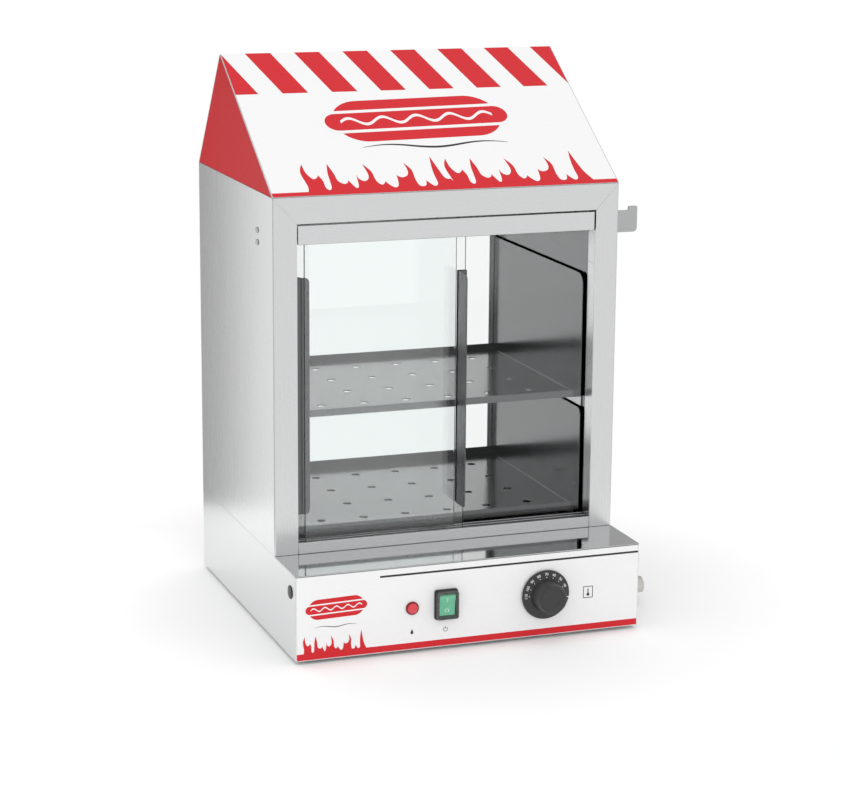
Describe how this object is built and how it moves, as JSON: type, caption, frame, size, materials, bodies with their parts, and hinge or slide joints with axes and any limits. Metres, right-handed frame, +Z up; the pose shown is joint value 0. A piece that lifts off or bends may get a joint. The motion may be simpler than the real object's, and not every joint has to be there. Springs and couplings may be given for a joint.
{
  "type": "hot dog steamer display cabinet",
  "caption": "Counter-top steam cabinet with roof-shaped hood, sliding glass doors, bun box over a sausage tray, heated water tank and a front control panel.",
  "frame": {"origin": "middle of the whole box at the table, under the rubber feet", "axes": "+Z up, -Y towards the user at the front panel, +X to the right seen from the front"},
  "size_m": [0.4484, 0.4276, 0.627],
  "materials": {
    "satin_steel": "fine brushed sheet",
    "polished_steel": "mirror-polished sheet",
    "grip_steel": "satin folded strip",
    "white_paint": "gloss white with printed graphics",
    "red_paint": "gloss red",
    "clear_glass": "clear toughened pane",
    "heater_sheath": "heat-darkened tube",
    "probe_metal": "copper capillary",
    "brass": "machined",
    "red_grip": "dipped red",
    "black_plastic": "moulded",
    "green_plastic": "translucent moulded",
    "clear_plastic": "flexible clear cover",
    "red_plastic": "translucent moulded",
    "white_plastic": "moulded",
    "black_rubber": "matt"
  },
  "bodies": {
    "cabinet": {"base_bottom_plate": "satin_steel", "base_side_left": "satin_steel", "base_side_right": "satin_steel", "base_back_panel": "satin_steel", "cabinet_side_left": "satin_steel", "cabinet_side_right": "satin_steel", "front_frame": "satin_steel", "rear_frame": "satin_steel", "ceiling_plate": "satin_steel", "jamb_strip_left": "satin_steel", "jamb_strip_right": "satin_steel", "rear_glass_strip_left": "satin_steel", "rear_glass_strip_right": "satin_steel", "upper_door_track": "satin_steel", "lower_door_track": "satin_steel", "bun_rail_left": "satin_steel", "bun_rail_right": "satin_steel", "steam_plate": "satin_steel", "water_tank": "satin_steel", "hook_bracket": "satin_steel", "hook_screw_1": "satin_steel", "hook_screw_2": "satin_steel", "side_screw_1": "satin_steel", "side_screw_2": "satin_steel", "front_ledge": "polished_steel", "liner_left": "polished_steel", "liner_right": "polished_steel", "sausage_tray": "polished_steel", "bun_box": "polished_steel", "base_front_panel": "white_paint", "hood_front_panel": "white_paint", "hood_rear_panel": "white_paint", "hood_end_left": "red_paint", "hood_end_right": "red_paint", "rear_glass": "clear_glass", "heating_element": "heater_sheath", "thermostat_bulb": "probe_metal", "drain_cock_body": "brass", "switch_housing": "black_plastic", "safety_cutout": "black_plastic", "cable_gland": "black_plastic", "hole_plug": "black_plastic", "switch_cover": "clear_plastic", "indicator_bezel": "red_plastic", "indicator_lens": "red_plastic", "thermostat_body": "white_plastic", "terminal_block": "white_plastic", "level_sensor_stem": "white_plastic", "foot_1": "black_rubber", "foot_2": "black_rubber", "foot_3": "black_rubber", "foot_4": "black_rubber"},
    "left_door": {"left_door_glass": "clear_glass", "left_door_grip": "grip_steel"},
    "right_door": {"right_door_glass": "clear_glass", "right_door_grip": "grip_steel"},
    "knob": {"thermostat_knob": "black_plastic"},
    "rocker": {"switch_rocker": "green_plastic"},
    "drain_lever": {"drain_handle": "red_grip"},
    "float": {"level_float": "white_plastic"}
  },
  "joints": [
    {"name": "right_door_slide", "type": "slide", "parent": "cabinet", "child": "right_door", "axis": [1, 0, 0], "range_m": [0, 0.15]},
    {"name": "left_door_slide", "type": "slide", "parent": "cabinet", "child": "left_door", "axis": [1, 0, 0], "range_m": [0, 0.15]},
    {"name": "thermostat_turn", "type": "hinge", "parent": "cabinet", "child": "knob", "pos_m": [0.0647, -0.18625, 0.052], "axis": [0, 1, 0], "range_deg": [0, 200]},
    {"name": "power_rocker_tilt", "type": "hinge", "parent": "cabinet", "child": "rocker", "pos_m": [-0.0519, -0.18655, 0.0525], "axis": [-1, 0, 0], "range_deg": [0, 16]},
    {"name": "drain_handle_turn", "type": "hinge", "parent": "cabinet", "child": "drain_lever", "pos_m": [0.1937, -0.09425, 0.0353], "axis": [0, 0, -1], "range_deg": [0, 90]},
    {"name": "float_slide", "type": "slide", "parent": "cabinet", "child": "float", "axis": [0, 0, 1], "range_m": [0, 0.023]}
  ]
}
